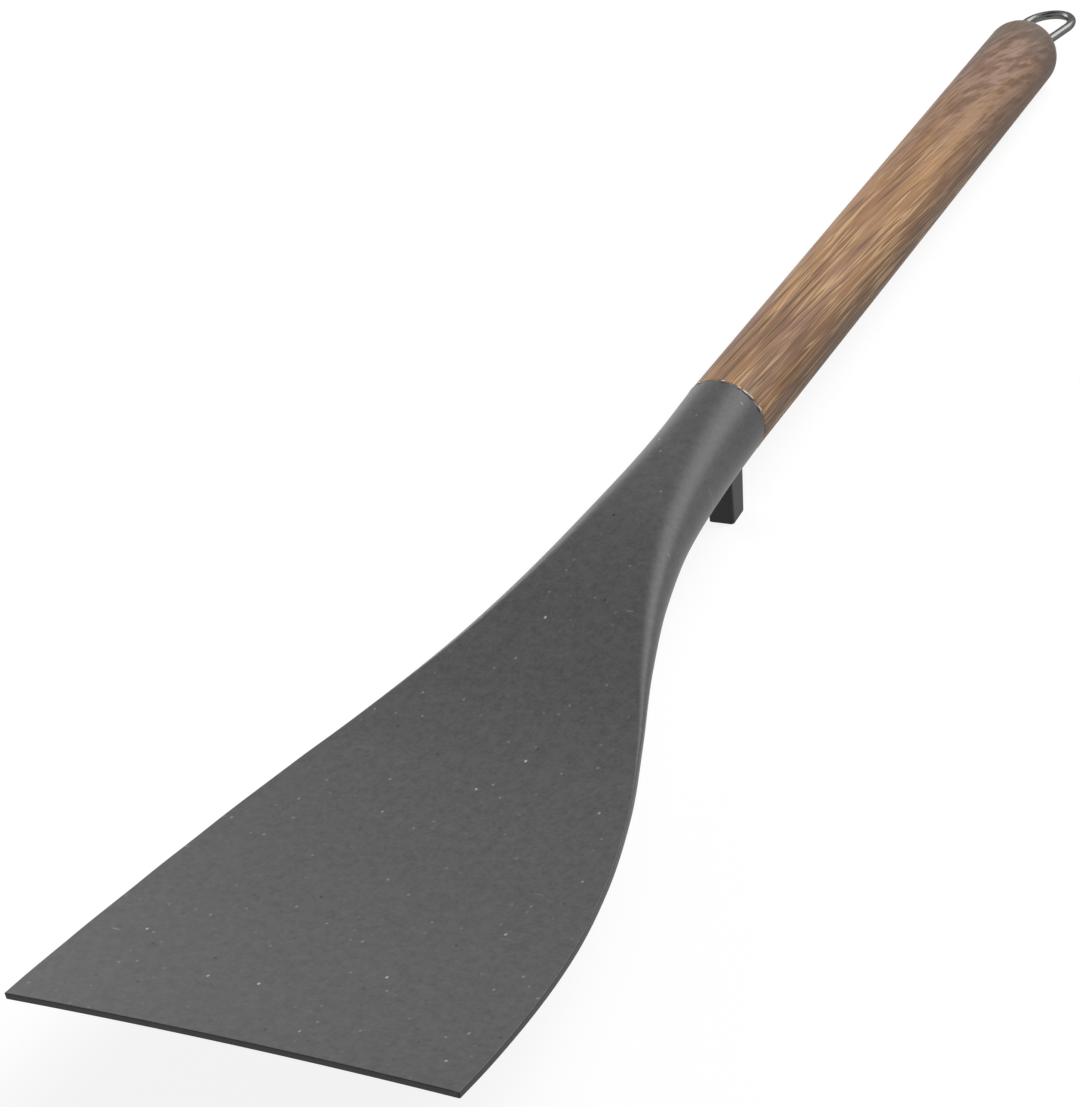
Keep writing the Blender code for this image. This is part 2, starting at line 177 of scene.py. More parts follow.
# Masks on the wood, given in the same way. Y runs from the seam, and X and Z from the handle's middle
WOOD_MASKS = {
    "streak": ("streaks", 0.30, 0.53, 0.00, 1.00),
    "sparse": ("groups", 0.34, 0.54, 0.48, 0.00),
    "light": ("patches", 0.45, 0.62, 0.00, 0.80),
    "red": ("blush", 0.50, 0.62, 0.00, 0.70),
    "glowing": ("glow", 0.54, 0.68, 0.00, 0.65),
    # painted highlight: an orange band on the upper right of the handle, where a lamp's highlight runs
    # along it
    "highlight_band": ("off_band", 0.6 * MM, 2.4 * MM, 0.90, 0.00),
    "band_side": ("Z", 1 * MM, 4 * MM, 0.00, 1.00),
    "band_start": ("Y", 60 * MM, 90 * MM, 0.00, 1.00),
    "band_end": ("Y", 128 * MM, 150 * MM, 1.00, 0.00),
    "band_patches": ("patches", 0.38, 0.52, 0.50, 1.00),
    "warm_start": ("Y", 25 * MM, 75 * MM, 0.00, 0.32),
    "warm_end": ("Y", 105 * MM, 140 * MM, 1.00, 0.00),
    "dull": ("Y", 85 * MM, 145 * MM, 0.00, 0.60),
    "figure": ("Y", 85 * MM, 145 * MM, 0.00, 1.00),
    "dark_flames": ("flames", 0.48, 0.40, 0.00, 0.70),
    "pink_flames": ("flames", 0.53, 0.58, 0.00, 0.85),
    # painted shade, darker towards the lower side of the handle
    "shaded": ("Z", -0.5 * MM, 5.5 * MM, 0.86, 0.00),
    # painted shade towards the tail's end, where the end face turns away, also standing for darker end
    # grain
    "tail_end_shade": ("Y", 154 * MM, 168 * MM, 0.00, 0.84),
    # greyer and darker on the left of the tail
    "left_side": ("X", -5 * MM, 2 * MM, 0.50, 0.00),
    "left_ash": ("Y", 130 * MM, 155 * MM, 0.00, 1.00),
    "vein": ("off_vein", 0.008, 0.028, 0.65, 0.00),
    "vein_patches": ("patches", 0.40, 0.56, 0.35, 1.00),
    "bright": ("lines", 0.58, 0.66, 0.00, 0.85),
    "thin": ("threads", 0.59, 0.67, 0.00, 0.75),
    "gathered": ("groups", 0.42, 0.60, 0.18, 1.00),
    "hair": ("hairs", 0.42, 0.35, 0.00, 0.75),
    "lined": ("Y", 85 * MM, 150 * MM, 1.00, 0.10),
}

# The wood's layers from the lowest up: the masks that are multiplied, and the colour. The material
# itself makes the masks for the pale and the deep strokes
WOOD_LAYERS = (
    (("sparse",), "wood_dark"),
    (("light",), "wood_light"),
    (("red",), "wood_red"),
    (("glowing",), "wood_glow"),
    # painted highlight band
    (("highlight_band", "band_side", "band_start", "band_end", "band_patches"), "wood_glow"),
    (("warm_start", "warm_end"), "wood_warm"),
    (("dull",), "wood_dull"),
    (("dark_flames", "figure"), "wood_dark"),
    (("pink_flames", "figure"), "wood_pink"),
    # painted shade on the lower side
    (("shaded",), "wood_shade"),
    # painted shade at the tail's end
    (("tail_end_shade",), "wood_ash"),
    (("left_side", "left_ash"), "wood_ash"),
    (("pale",), "wood_gold"),
    (("deep",), "wood_dark"),
)

# The fine grain of each finish: its scale, its coarse scale and the coarse part's share
NYLON_GRAIN = (1300.0, 520.0, 0.45)
WOOD_GRAIN = (1600.0, 160.0, 0.40)
STEEL_GRAIN = (2500.0, 500.0, 0.50)
ADHESIVE_GRAIN = (1500.0, 420.0, 0.70)

# Roughness where the fine grain is low and where it is high
NYLON_ROUGHNESS = (0.34, 0.45)
WOOD_ROUGHNESS = (0.50, 0.66)
STEEL_ROUGHNESS = (0.22, 0.30)
ADHESIVE_ROUGHNESS = (0.35, 0.60)

# The lamps: heading from +Y towards +X and height in degrees, and size
LAMPS = (
    ("key", 41, 41, 1.7),
    ("top", 0, 65, 1.0),
    ("side", 92, 61, 0.5),
    ("left", -66, 15, 1.0),
    ("front", 190, 18, 1.0),
)
LAMP_DISTANCE = 2.0

# How high the white horizon reaches and the dark ceiling starts, and where the floor fades to white
CEILING_STARTS = (math.radians(38), math.radians(58))
FLOOR_FADE = (0.6, 1.6)


def length(label, note, millimetres):
    """A length property, with its default given in millimetres."""
    return FloatProperty(
        name=label, description=note, default=millimetres * MM, min=0.0, unit="LENGTH", precision=5,
    )


def angle(label, note, degrees):
    """An angle property, with its default given in degrees."""
    return FloatProperty(name=label, description=note, default=math.radians(degrees), unit="ROTATION")


def colour(label, note, default):
    """A colour property."""
    return FloatVectorProperty(
        name=label, description=note, default=default, subtype="COLOR", min=0.0, max=1.0,
    )


def factor(label, note, default, top=1.0):
    """A plain factor property."""
    return FloatProperty(
        name=label, description=note, default=default, min=0.0, max=top, subtype="FACTOR",
    )


def power(label, note, default):
    """A lamp's power in watts."""
    return FloatProperty(name=label, description=note, default=default, unit="POWER")


def count(label, note, default):
    """A whole number property."""
    return IntProperty(name=label, description=note, default=default, min=1)


class RestSettings(PropertyGroup):
    """How the spatula lies on the table."""

    tilt: angle("Tilt", "How far the tail hangs below the collar", 3.721322)
    forward: length("Seam Forward", "Where the seam's middle lies along Y", 2.9307)
    height: length("Seam Height", "How high the seam's middle lies over the table", 19.269)


class HeadSettings(PropertyGroup):
    """Sizes of the moulded head."""

    head_length: length("Length", "From the seam to the middle of the front edge", 194.85)
    blade_width: length("Blade Width", "Widest place of the blade", 91.6)
    blade_thickness: length("Blade Thickness", "Thickness at the front edge", 1.4)
    collar_diameter: length("Collar Diameter", "Round end that meets the wood", 18.0)
    neck_drop: length("Neck Drop", "Lowest place of the blade below the axis", 8.4)
    front_corner: length("Front Corner", "Radius of the two front corners", 0.35)
    front_hollow: length("Front Hollow", "How far the corners lie ahead of the edge's middle", 0.8)
    hollow_reach: length("Hollow Reach", "How far back the hollow front edge is felt", 25.0)
    edge_round: length("Edge Rounding", "Rounding along the front edge", 0.18)
    core_wall: length("Core Wall", "Wall left over the cored channels", 2.0)
    core_rib: length("Core Rib", "Width of the rib between the channels", 1.8)
    core_back: length("Core Back", "Where the channels start, from the seam", 10.5)
    core_front: length("Core Front", "Where the channels end, from the seam", 96.0)
    tang_diameter: length("Tang Diameter", "Tang inside the handle", 9.0)
    tang_length: length("Tang Length", "Length of the tang", 48.0)
    groove_width: length("Groove Width", "Width of each glue groove in the tang", 3.0)
    groove_depth: length("Groove Depth", "Depth of each glue groove in the tang", 0.6)
    station_pitch: length("Station Pitch", "Distance between two sections", 1.0)


class FootSettings(PropertyGroup):
    """Sizes of the rest foot under the collar, from the seam forward and from the axis down."""

    width: length("Width", "Width of the foot", 5.8)
    depth: length("Depth", "From the axis to the flat end", 19.7)
    root_back: length("Root Back", "Back of the foot at the collar", 0.3)
    root_front: length("Root Front", "Front of the foot at the collar", 6.6)
    toe_back: length("Toe Back", "Back of the flat end", 3.6)
    toe_front: length("Toe Front", "Front of the flat end", 9.0)
    corner: length("Corner", "Rounding of the upright edges", 0.7)
    fillet: length("Fillet", "Fillet between foot and collar", 0.45)
    toe_round: length("Toe Rounding", "Rounding round the flat end", 0.25)


class HandleSettings(PropertyGroup):
    """Sizes of the turned handle."""

    handle_length: length("Length", "From the seam to the tail face", 171.4)
    collar_radius: length("Collar Radius", "Radius at the seam", 9.0)
    tail_radius: length("Tail Radius", "Radius before the rounding", 8.55)
    face_radius: length("Face Radius", "Radius of the flat tail face", 4.2)
    rounding: length("Rounding", "Length of the rounded tail", 6.1)
    fullness: factor("Fullness", "2 rounds the tail like an ellipse, less is flatter", 1.75, top=4.0)
    seam: length("Seam", "Gap between collar and wood", 0.3)
    chamfer: length("Chamfer", "Broken edge at the seam", 0.2)
    bore_radius: length("Bore Radius", "Bore for the tang", 5.6)
    bore_depth: length("Bore Depth", "End of the bore, from the seam", 50.5)
    sides: count("Sides", "Sides of the turned shape", 128)


class LoopSettings(PropertyGroup):
    """Sizes of the wire loop."""

    wire_diameter: length("Wire Diameter", "Thickness of the wire", 2.1)
    leg_offset: length("Leg Offset", "Distance of each leg from the axis", 3.3)
    leg_depth: length("Leg Depth", "Length of each leg in the wood", 14.0)
    hole_depth: length("Hole Depth", "Depth of each leg's hole", 17.0)
    hole_gap: length("Hole Gap", "Clearance round each leg", 0.3)
    bend_radius: length("Bend Radius", "Bend where a leg leaves the wood", 4.0)
    eye_radius: length("Eye Radius", "Centre line of the eye", 6.05)
    eye_rise: length("Eye Rise", "Eye centre beyond the tail face", 10.4)
    roll: angle("Roll", "How far the left side of the eye hangs down", 3.5)
    nod: angle("Nod", "How far the eye hangs down from the tail face", 1.0)
    sides: count("Sides", "Sides of the wire", 32)


class SeamSettings(PropertyGroup):
    """Sizes of the adhesive that shows in the seam."""

    ring_radius: length("Ring Radius", "Middle of the line of adhesive", 8.93)
    fleck_radius: length("Fleck Radius", "Where the larger flecks sit", 9.10)
    bead_radius: length("Bead Radius", "Half the thickness of the line of adhesive", 0.16)
    unevenness: length("Unevenness", "How far the line of adhesive wanders", 0.05)
    fleck_size: length("Fleck Size", "Half the thickness of the larger flecks", 0.28)
    seed: count("Seed", "Seed of the flecks' sizes and turns", 7)


class FinishSettings(PropertyGroup):
    """Colours of the finishes."""

    nylon: colour("Nylon", "Dark grey of the head", (0.0785, 0.0785, 0.0795))
    # Painted shade: this dark grey darkens the front edge face, the blade's sides and the foot, and it also
    # colours dark specks
    nylon_edge: colour("Nylon Edge", "Darker grey of the front edge face", (0.008, 0.008, 0.008))
    wood_light: colour("Light Wood", "Warm tan patches", (0.390, 0.212, 0.104))
    wood_mid: colour("Middle Wood", "Brown between the streaks", (0.295, 0.160, 0.092))
    wood_red: colour("Red Wood", "Reddish patches", (0.300, 0.148, 0.100))
    # Also the colour of the painted highlight band along the handle
    wood_glow: colour("Glowing Wood", "Orange band in the wood", (0.500, 0.268, 0.096))
    wood_warm: colour("Warm Wood", "Colour of the handle's middle", (0.455, 0.232, 0.108))
    wood_dull: colour("Dull Wood", "Colour of the tail", (0.225, 0.145, 0.108))
    wood_pink: colour("Pink Wood", "Short strokes in the tail", (0.370, 0.240, 0.180))
    # Painted shade along the handle's lower side
    wood_shade: colour("Shaded Wood", "Darker wood along the right side", (0.140, 0.085, 0.055))
    # Painted shade at the tail's end, and the greyer, darker left of the tail
    wood_ash: colour("Ashen Wood", "Greyish wood at the tail's end", (0.105, 0.088, 0.075))
    wood_dark: colour("Dark Wood", "Dark streaks and pores", (0.140, 0.075, 0.046))
    wood_gold: colour("Golden Lines", "Fine bright lines in the wood", (0.700, 0.470, 0.255))
    steel: colour("Steel", "Polished wire", (0.150, 0.149, 0.145))
    steel_edge: colour("Steel Edge", "Tint of the wire at a grazing angle", (0.450, 0.450, 0.450))
    adhesive: colour("Adhesive", "Cured adhesive in the seam", (0.780, 0.720, 0.680))
    dust: colour("Dust", "Pale dust specks", (0.600, 0.600, 0.590))


class StageSettings(PropertyGroup):
    """Camera, floor and lights."""

    camera_place: FloatVectorProperty(
        name="Camera Place", description="Where the camera stands", unit="LENGTH",
        default=(0.318506, -0.504557, 0.414579),
    )
    camera_look: FloatVectorProperty(
        name="Camera Look", description="Direction the camera looks in", subtype="DIRECTION",
        default=(-0.48586, 0.66182, -0.57092),
    )
    camera_up: FloatVectorProperty(
        name="Camera Up", description="Direction of the picture's upper edge", subtype="DIRECTION",
        default=(-0.11279, 0.60026, 0.79182),
    )
    lens: FloatProperty(name="Lens", description="Focal length in millimetres", default=114.08, min=10.0)
    floor_radius: length("Floor Radius", "Radius of the pale floor", 6000.0)
    floor_colour: colour("Floor Colour", "Grey of the floor as it lights the object", (0.30, 0.30, 0.30))
    floor_shadow: colour("Floor Shadow", "Grey that shows shadows on the floor", (0.20, 0.20, 0.20))
    floor_glow: factor("Floor Glow", "White that the floor shows in full shadow", 0.86)
    ceiling: factor("Ceiling", "Brightness that the studio's ceiling shows", 0.22)
    ambient: factor("Ambient", "Light from all round", 0.06, top=4.0)
    key_power: power("Key Power", "Lamp behind on the right", 36.0)
    top_power: power("Top Power", "Lamp overhead", 4.0)
    side_power: power("Side Power", "Small lamp on the right", 2.0)
    left_power: power("Left Power", "Low lamp on the left", 14.5)
    front_power: power("Front Power", "Low lamp in front", 4.0)


def settings(name):
    """The scene's settings for one group of pieces."""
    return getattr(bpy.context.scene, PREFIX + name)


def share_at(shares, place):
    """Smooth value at a place, on a curve through the table's points that makes no overshoot."""
    places = [point[0] for point in shares]
    values = [point[1] for point in shares]
    slopes = [
        (values[i + 1] - values[i]) / (places[i + 1] - places[i])
        for i in range(len(shares) - 1)
    ]
    tangents = [slopes[0]]
    for before, after in zip(slopes, slopes[1:]):
        tangents.append(2 * before * after / (before + after) if before * after > 0 else 0.0)
    tangents.append(slopes[-1])
    place = min(max(place, places[0]), places[-1])
    span = max(i for i in range(len(slopes)) if places[i] <= place)
    width = places[span + 1] - places[span]
    t = (place - places[span]) / width
    rise = values[span + 1] - values[span]
    start = tangents[span] * width
    end = tangents[span + 1] * width
    square = 3 * rise - 2 * start - end
    cube = start + end - 2 * rise
    return values[span] + start * t + square * t ** 2 + cube * t ** 3


def quarter_turns(steps, first=0):
    """Angles over a quarter turn in equal steps, from the first step on."""
    return [math.pi / 2 * step / steps for step in range(first, steps + 1)]


def rest_matrix():
    """Carries the spatula's own frame into the rest pose on the table."""
    rest = settings("rest")
    return Matrix.Translation((0.0, rest.forward, rest.height)) @ Matrix.Rotation(-rest.tilt, 4, "X")


def finished_mesh(source, name):
    """A plain mesh of an object with its modifiers applied. The object goes."""
    bpy.context.view_layer.update()
    graph = bpy.context.evaluated_depsgraph_get()
    mesh = bpy.data.meshes.new_from_object(source.evaluated_get(graph))
    mesh.name = name
    bpy.data.objects.remove(source, do_unlink=True)
    return mesh


def working_object(name, mesh):
    """An object that is linked only while a piece is made."""
    item = bpy.data.objects.new(name, mesh)
    bpy.context.scene.collection.objects.link(item)
    return item


def place_piece(mesh, name, material, nodes=()):
    """A finished piece: its mesh laid in the rest pose, riding on the one body."""
    mesh.transform(rest_matrix())
    mesh.materials.clear()
    mesh.materials.append(material)
    piece = bpy.data.objects.new(name, mesh)
    bpy.context.scene.collection.objects.link(piece)
    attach(piece, BODY)
    if nodes:
        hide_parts(*nodes)
    return piece


def close_up(working):
    """Merge a closed bmesh's doubled points and turn its faces outwards."""
    bmesh.ops.remove_doubles(working, verts=working.verts, dist=MERGE_DISTANCE)
    bmesh.ops.recalc_face_normals(working, faces=working.faces)


def mesh_from(working, name):
    """A smooth-shaded mesh from a bmesh that is then freed."""
    mesh = bpy.data.meshes.new(name)
    working.to_mesh(mesh)
    working.free()
    mesh.shade_smooth()
    return mesh


def lofted(name, rings, first_cap=True):
    """A working object of the closed shape through rings with the same number of points."""
    working = bmesh.new()
    loops = [[working.verts.new(point) for point in ring] for ring in rings]
    size = len(rings[0])
    for near, far in zip(loops, loops[1:]):
        for i in range(size):
            j = (i + 1) % size
            working.faces.new((near[i], near[j], far[j], far[i]))
    if first_cap:
        working.faces.new(loops[0])
    working.faces.new(loops[-1])
    close_up(working)
    return working_object(name, mesh_from(working, name))


def combined_mesh(item, others, name):
    """A plain mesh of an object, with each other object joined to it or cut away. All of them go."""
    for other, operation in others:
        modifier = item.modifiers.new(operation.title(), "BOOLEAN")
        modifier.operation = operation
        modifier.solver = "EXACT"
        modifier.object = other
    mesh = finished_mesh(item, name)
    for other, operation in others:
        bpy.data.objects.remove(other, do_unlink=True)
    if len(mesh.polygons) < LEAST_FACES[name]:
        raise RuntimeError(f"{name} lost faces while its shapes were joined and cut")
    mesh.set_sharp_from_angle(angle=SHARP_ANGLE)
    return mesh


def head_section(place):
    """Half width, half height, corner radius and middle height of the head at a share of its length."""
    head = settings("head")
    collar = head.collar_diameter
    half_width = collar / 2 + (head.blade_width - collar) / 2 * share_at(WIDTH_SHARES, place)
    thickness = head.blade_thickness
    thickness += (collar - head.blade_thickness) * share_at(THICKNESS_SHARES, place)
    corner = thickness / 2 * share_at(ROUNDNESS_SHARES, place)
    return half_width, thickness / 2, corner, -head.neck_drop * share_at(DROP_SHARES, place)


def section_ring(half_width, half_height, corner, columns=26, steps=14):
    """Points round a rectangle with rounded corners. Flats and corners keep their number of points."""
    centre_x = half_width - corner
    centre_z = half_height - corner
    ring = []
    for index, (side, level) in enumerate(((1, 1), (-1, 1), (-1, -1), (1, -1))):
        for step in range(steps + 1):
            turn = math.pi / 2 * (index + step / steps)
            across = side * centre_x + corner * math.cos(turn)
            ring.append((across, level * centre_z + corner * math.sin(turn)))
        if index % 2 == 0:
            for column in range(1, columns):
                ring.append((side * centre_x * (1 - 2 * column / columns), level * half_height))
    return ring


def head_distances():
    """Where the sections of the head lie, from the seam to the front edge."""
    head = settings("head")
    front = head.head_length - head.front_corner
    rounding = head.head_length - head.edge_round
    steps = round(front / head.station_pitch)
    bow = (head.front_corner - head.edge_round) * BOW_SHARE
    distances = [front * step / steps for step in range(steps)]
    distances += [front + bow * math.sin(turn) for turn in quarter_turns(BOW_STEPS)]
    distances += [rounding + head.edge_round * math.sin(turn) for turn in quarter_turns(EDGE_STEPS, 1)]
    return distances


def head_rings():
    """Rings from the front face's middle line over the blade and the collar to the tip of the tang."""
    head = settings("head")
    front = head.head_length - head.front_corner
    rings = []
    for distance in reversed(head_distances()):
        half_width, half_height, corner, middle = head_section(distance / head.head_length)
        past = max(0.0, distance - front)
        half_width -= head.front_corner - math.sqrt(max(0.0, head.front_corner ** 2 - past ** 2))
        lip = max(0.0, distance - head.head_length + head.edge_round)
        inset = head.edge_round - math.sqrt(max(0.0, head.edge_round ** 2 - lip ** 2))
        outline = section_ring(half_width, half_height - inset, max(corner - inset, LEAST_CORNER))
        felt = max(0.0, 1 - (head.head_length - distance) / head.hollow_reach)
        ahead = head.front_hollow * felt ** 2 * (3 - 2 * felt) / (head.blade_width / 2) ** 2
        if not rings:
            rings.append([Vector((x, -distance - ahead * x ** 2, middle)) for x, z in outline])
        rings.append([Vector((x, -distance - ahead * x ** 2, middle + z)) for x, z in outline])
    for radius, distance in [(head.tang_diameter / 2, 0.0)] + tang_outline():
        outline = section_ring(radius, radius, radius)
        rings.append([Vector((x, distance, z)) for x, z in outline])
    return rings


def tang_outline():
    """Radius and distance behind the seam along the tang, with its glue grooves."""
    head = settings("head")
    radius = head.tang_diameter / 2
    floor = radius - head.groove_depth
    lip = head.groove_width / 2
    bed = lip - head.groove_depth
    straight = head.tang_length - TANG_CHAMFER
    points = []
    for groove in range(GROOVE_COUNT):
        middle = straight / (GROOVE_COUNT + 1) * (groove + 1)
        points += [(radius, middle - lip), (floor, middle - bed)]
        points += [(floor, middle + bed), (radius, middle + lip)]
    points.append((radius, straight))
    points.append((radius - TANG_CHAMFER, head.tang_length))
    return points


def underside(x, distance):
    """Height of the head's lower surface under a point."""
    half_width, half_height, corner, middle = head_section(distance / settings("head").head_length)
    beyond = min(max(0.0, abs(x) - (half_width - corner)), corner)
    return middle - (half_height - corner) - math.sqrt(corner ** 2 - beyond ** 2)


def foot_outline(depth, grow):
    """Points round the foot at a depth below the axis, moved outwards by a distance."""
    foot = settings("foot")
    root = settings("head").collar_diameter / 2
    down = (depth - root) / (foot.depth - root)
    back = foot.root_back + (foot.toe_back - foot.root_back) * down
    front = foot.root_front + (foot.toe_front - foot.root_front) * down
    half_length = (front - back) / 2 + grow
    outline = section_ring(foot.width / 2 + grow, half_length, foot.corner + grow, columns=6, steps=8)
    return [(x, -(back + front) / 2 + y) for x, y in outline]


def foot_rings():
    """Rings of the foot, from inside the collar over a fillet to a rounded toe that is level at rest."""
    foot = settings("foot")
    root = settings("head").collar_diameter / 2
    slope = math.tan(settings("rest").tilt)
    toe_middle = (foot.toe_back + foot.toe_front) / 2
    toe_depth = foot.depth - foot.toe_round
    levels = [(foot.fillet, -FOOT_EMBED)]
    for turn in quarter_turns(FILLET_STEPS):
        levels.append((foot.fillet * (1 - math.sin(turn)), foot.fillet * (1 - math.cos(turn))))
    rings = []
    for grow, drop in levels:
        outline = foot_outline(root, grow)
        rings.append([Vector((x, y, underside(x, max(-y, 0.0)) - drop)) for x, y in outline])
    start = rings[-1]
    outline = foot_outline(toe_depth, 0.0)
    end = [Vector((x, y, (y + toe_middle) * slope - toe_depth)) for x, y in outline]
    for step in range(1, FOOT_STEPS + 1):
        rings.append([near.lerp(far, step / FOOT_STEPS) for near, far in zip(start, end)])
    for turn in quarter_turns(TOE_STEPS, 1):
        depth = foot.depth - foot.toe_round * (1 - math.sin(turn))
        outline = foot_outline(foot.depth, -foot.toe_round * (1 - math.cos(turn)))
        rings.append([Vector((x, y, (y + toe_middle) * slope - depth)) for x, y in outline])
    return rings


def core_rings(side):
    """Rings of one channel's cutter under the neck, on the side given as 1 or -1."""
    head = settings("head")
    inner = head.core_rib / 2
    rings = []
    for step in range(CORE_STEPS + 1):
        distance = head.core_back + (head.core_front - head.core_back) * step / CORE_STEPS
        half_width, half_height, rounding, middle = head_section(distance / head.head_length)
        outer = half_width - head.core_wall - CORE_INSET_SHARE * rounding
        roof = middle + half_height - head.core_wall
        corner = min(max(CORE_CORNER, rounding - head.core_wall), outer - head.core_rib)
        outline = [(inner, -CORE_CUT_DEPTH), (inner, roof)]
        for turn in reversed(quarter_turns(CORE_CORNER_STEPS)):
            across = outer - corner + corner * math.cos(turn)
            outline.append((across, roof - corner + corner * math.sin(turn)))
        outline.append((outer, -CORE_CUT_DEPTH))
        rings.append([Vector((side * x, -distance, z)) for x, z in outline])
    return rings


def bar_distances():
    """Where the sections of the handle lie, from the seam to the tail face."""
    handle = settings("handle")
    start = handle.seam + handle.chamfer
    bend = handle.handle_length - handle.rounding
    distances = [handle.seam, start]
    distances += [start + (bend - start) * step / BAR_STEPS for step in range(1, BAR_STEPS)]
    distances += [bend + handle.rounding * math.sin(turn) for turn in quarter_turns(TAIL_STEPS)]
    return distances


def hole_rings(radius, start, end, sides, across=0.0):
    """Two rings of a round cutter along the handle, some distance across from its axis."""
    turns = [math.tau * step / sides for step in range(sides)]
    return [
        [Vector((across + radius * math.cos(turn), distance, radius * math.sin(turn))) for turn in turns]
        for distance in (start, end)
    ]


def right_half_of_loop():
    """Centre line of the wire from the right leg's end to the top of the eye, from the tail face."""
    loop = settings("loop")
    reach = math.hypot(loop.leg_offset, loop.eye_rise)
    first = math.acos(loop.eye_radius / reach) - math.atan2(loop.eye_rise, loop.leg_offset)
    tangent = loop.bend_radius * math.tan(-first / 2)
    points = [(loop.leg_offset, -loop.leg_depth)]
    for step in range(BEND_STEPS + 1):
        turn = -first * step / BEND_STEPS
        across = loop.leg_offset + loop.bend_radius * (1 - math.cos(turn))
        points.append((across, loop.bend_radius * math.sin(turn) - tangent))
    for step in range(EYE_STEPS + 1):
        turn = first + (math.pi / 2 - first) * step / EYE_STEPS
        across = loop.eye_radius * math.cos(turn)
        points.append((across, loop.eye_rise + loop.eye_radius * math.sin(turn)))
    return points


def line_mesh(name, points):
    """A mesh of one open line through the points."""
    mesh = bpy.data.meshes.new(name)
    edges = [(i, i + 1) for i in range(len(points) - 1)]
    mesh.from_pydata([tuple(point) for point in points], edges, [])
    return mesh


def add_node(tree, kind, values=None, **options):
    """A node with its options, and with its sockets' links or values by name or number.

    It stands one column to the right of the nodes that feed it, below those already there.
    """
    values = values or {}
    feeds = [value.node.location.x for value in values.values() if isinstance(value, NodeSocket)]
    column = max(feeds) + COLUMN_WIDTH if feeds else 0
    row = sum(1 for other in tree.nodes if abs(other.location.x - column) < COLUMN_WIDTH / 2)
    node = tree.nodes.new(kind)
    node.location = (column, -row * ROW_HEIGHT)
    for name, value in options.items():
        setattr(node, name, value)
    for key, value in values.items():
        if isinstance(value, NodeSocket):
            tree.links.new(value, node.inputs[key])
        else:
            node.inputs[key].default_value = value
    return node


def maths(tree, operation, *values):
    """A Math node on links or numbers."""
    return add_node(tree, "ShaderNodeMath", dict(enumerate(values)), operation=operation).outputs["Value"]


def product(tree, first, *others):
    """Links or numbers multiplied in order."""
    for other in others:
        first = maths(tree, "MULTIPLY", first, other)
    return first


def ramp(tree, source, low, high, to_low=0.0, to_high=1.0):
    """A value stretched from one range to another and held inside it."""
    values = {"Value": source, "From Min": low, "From Max": high, "To Min": to_low, "To Max": to_high}
    return add_node(tree, "ShaderNodeMapRange", values).outputs["Result"]


def masks_from(tree, sources, table):
    """The masks of a table by name. Each is a ramp on one of the sources."""
    return {name: ramp(tree, sources[source], *limits) for name, (source, *limits) in table.items()}


def distance_from(tree, value, middle):
    """How far a value lies from a middle."""
    return maths(tree, "ABSOLUTE", maths(tree, "SUBTRACT", value, middle))


def vector_maths(tree, operation, values):
    """A Vector Math node's outputs."""
    return add_node(tree, "ShaderNodeVectorMath", values, operation=operation).outputs


def parts_of(tree, vector):
    """The X, Y and Z of a vector."""
    return add_node(tree, "ShaderNodeSeparateXYZ", {"Vector": vector}).outputs


def new_tree(name, inputs):
    """A Geometry Nodes tree with named inputs beside its geometry, and the links that they give."""
    tree = bpy.data.node_groups.new(name, "GeometryNodeTree")
    for label, kind in {"Geometry": "Geometry", **inputs}.items():
        tree.interface.new_socket(label, in_out="INPUT", socket_type="NodeSocket" + kind)
    tree.interface.new_socket("Geometry", in_out="OUTPUT", socket_type="NodeSocketGeometry")
    return tree, add_node(tree, "NodeGroupInput").outputs


def swept(tree, path, radius, sides, scale=1.0, caps=True):
    """A round section swept along a path, scaled along the way."""
    ring = add_node(tree, "GeometryNodeCurvePrimitiveCircle", {"Radius": radius, "Resolution": sides})
    return add_node(tree, "GeometryNodeCurveToMesh", {
        "Curve": path, "Profile Curve": ring.outputs["Curve"], "Scale": scale, "Fill Caps": caps,
    }).outputs["Mesh"]


def finish_tree(tree, geometry, material):
    """End a tree in Realize Instances and Set Material."""
    real = add_node(tree, "GeometryNodeRealizeInstances", {"Geometry": geometry})
    painted = add_node(tree, "GeometryNodeSetMaterial", {
        "Geometry": real.outputs["Geometry"], "Material": material,
    })
    add_node(tree, "NodeGroupOutput", {"Geometry": painted.outputs["Geometry"]})
    return tree


def run_tree(name, source, tree, group, others):
    """A plain mesh that a Geometry Nodes tree makes from a source mesh.

    Each input is set by its identifier, to one of the other values or to the group's setting of its name.
    """
    item = working_object(name, source)
    modifier = item.modifiers.new(tree.name, "NODES")
    modifier.node_group = tree
    for socket in tree.interface.items_tree:
        if socket.in_out == "INPUT" and socket.name in others:
            modifier[socket.identifier] = others[socket.name]
        elif socket.in_out == "INPUT" and socket.name != "Geometry":
            modifier[socket.identifier] = getattr(group, socket.name.lower().replace(" ", "_"))
    return finished_mesh(item, name)


